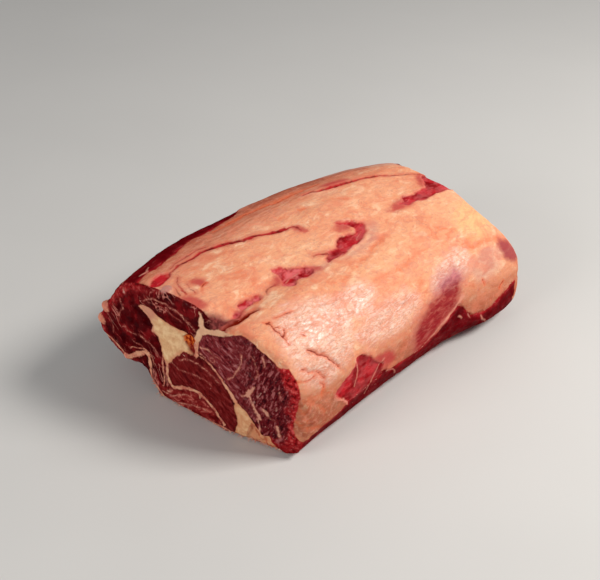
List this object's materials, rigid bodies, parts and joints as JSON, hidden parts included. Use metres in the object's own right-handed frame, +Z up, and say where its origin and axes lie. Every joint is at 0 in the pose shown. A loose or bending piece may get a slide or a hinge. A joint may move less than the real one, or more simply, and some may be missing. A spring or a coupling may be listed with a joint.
{
  "type": "raw beef rib roast",
  "caption": "Raw boneless beef rib roast lying fat cap up, with a big marbled cut face of several muscles and creamy seam fat at one end.",
  "frame": {"origin": "middle of the base of the roast's box, on the surface that it lies on", "axes": "+Y along the roast, from the big cut face at -Y to the far end; +Z up, through the fat cap; +X towards the thick fat-covered side, with the folded lip at -X"},
  "size_m": [0.2154, 0.3026, 0.1083],
  "materials": {
    "lean_meat": "moist raw lean beef, satin, with wet highlights",
    "fat": "moist raw beef fat, creamy to salmon, satin"
  },
  "bodies": {
    "root": {"rib_roast": "lean_meat"}
  },
  "joints": []
}
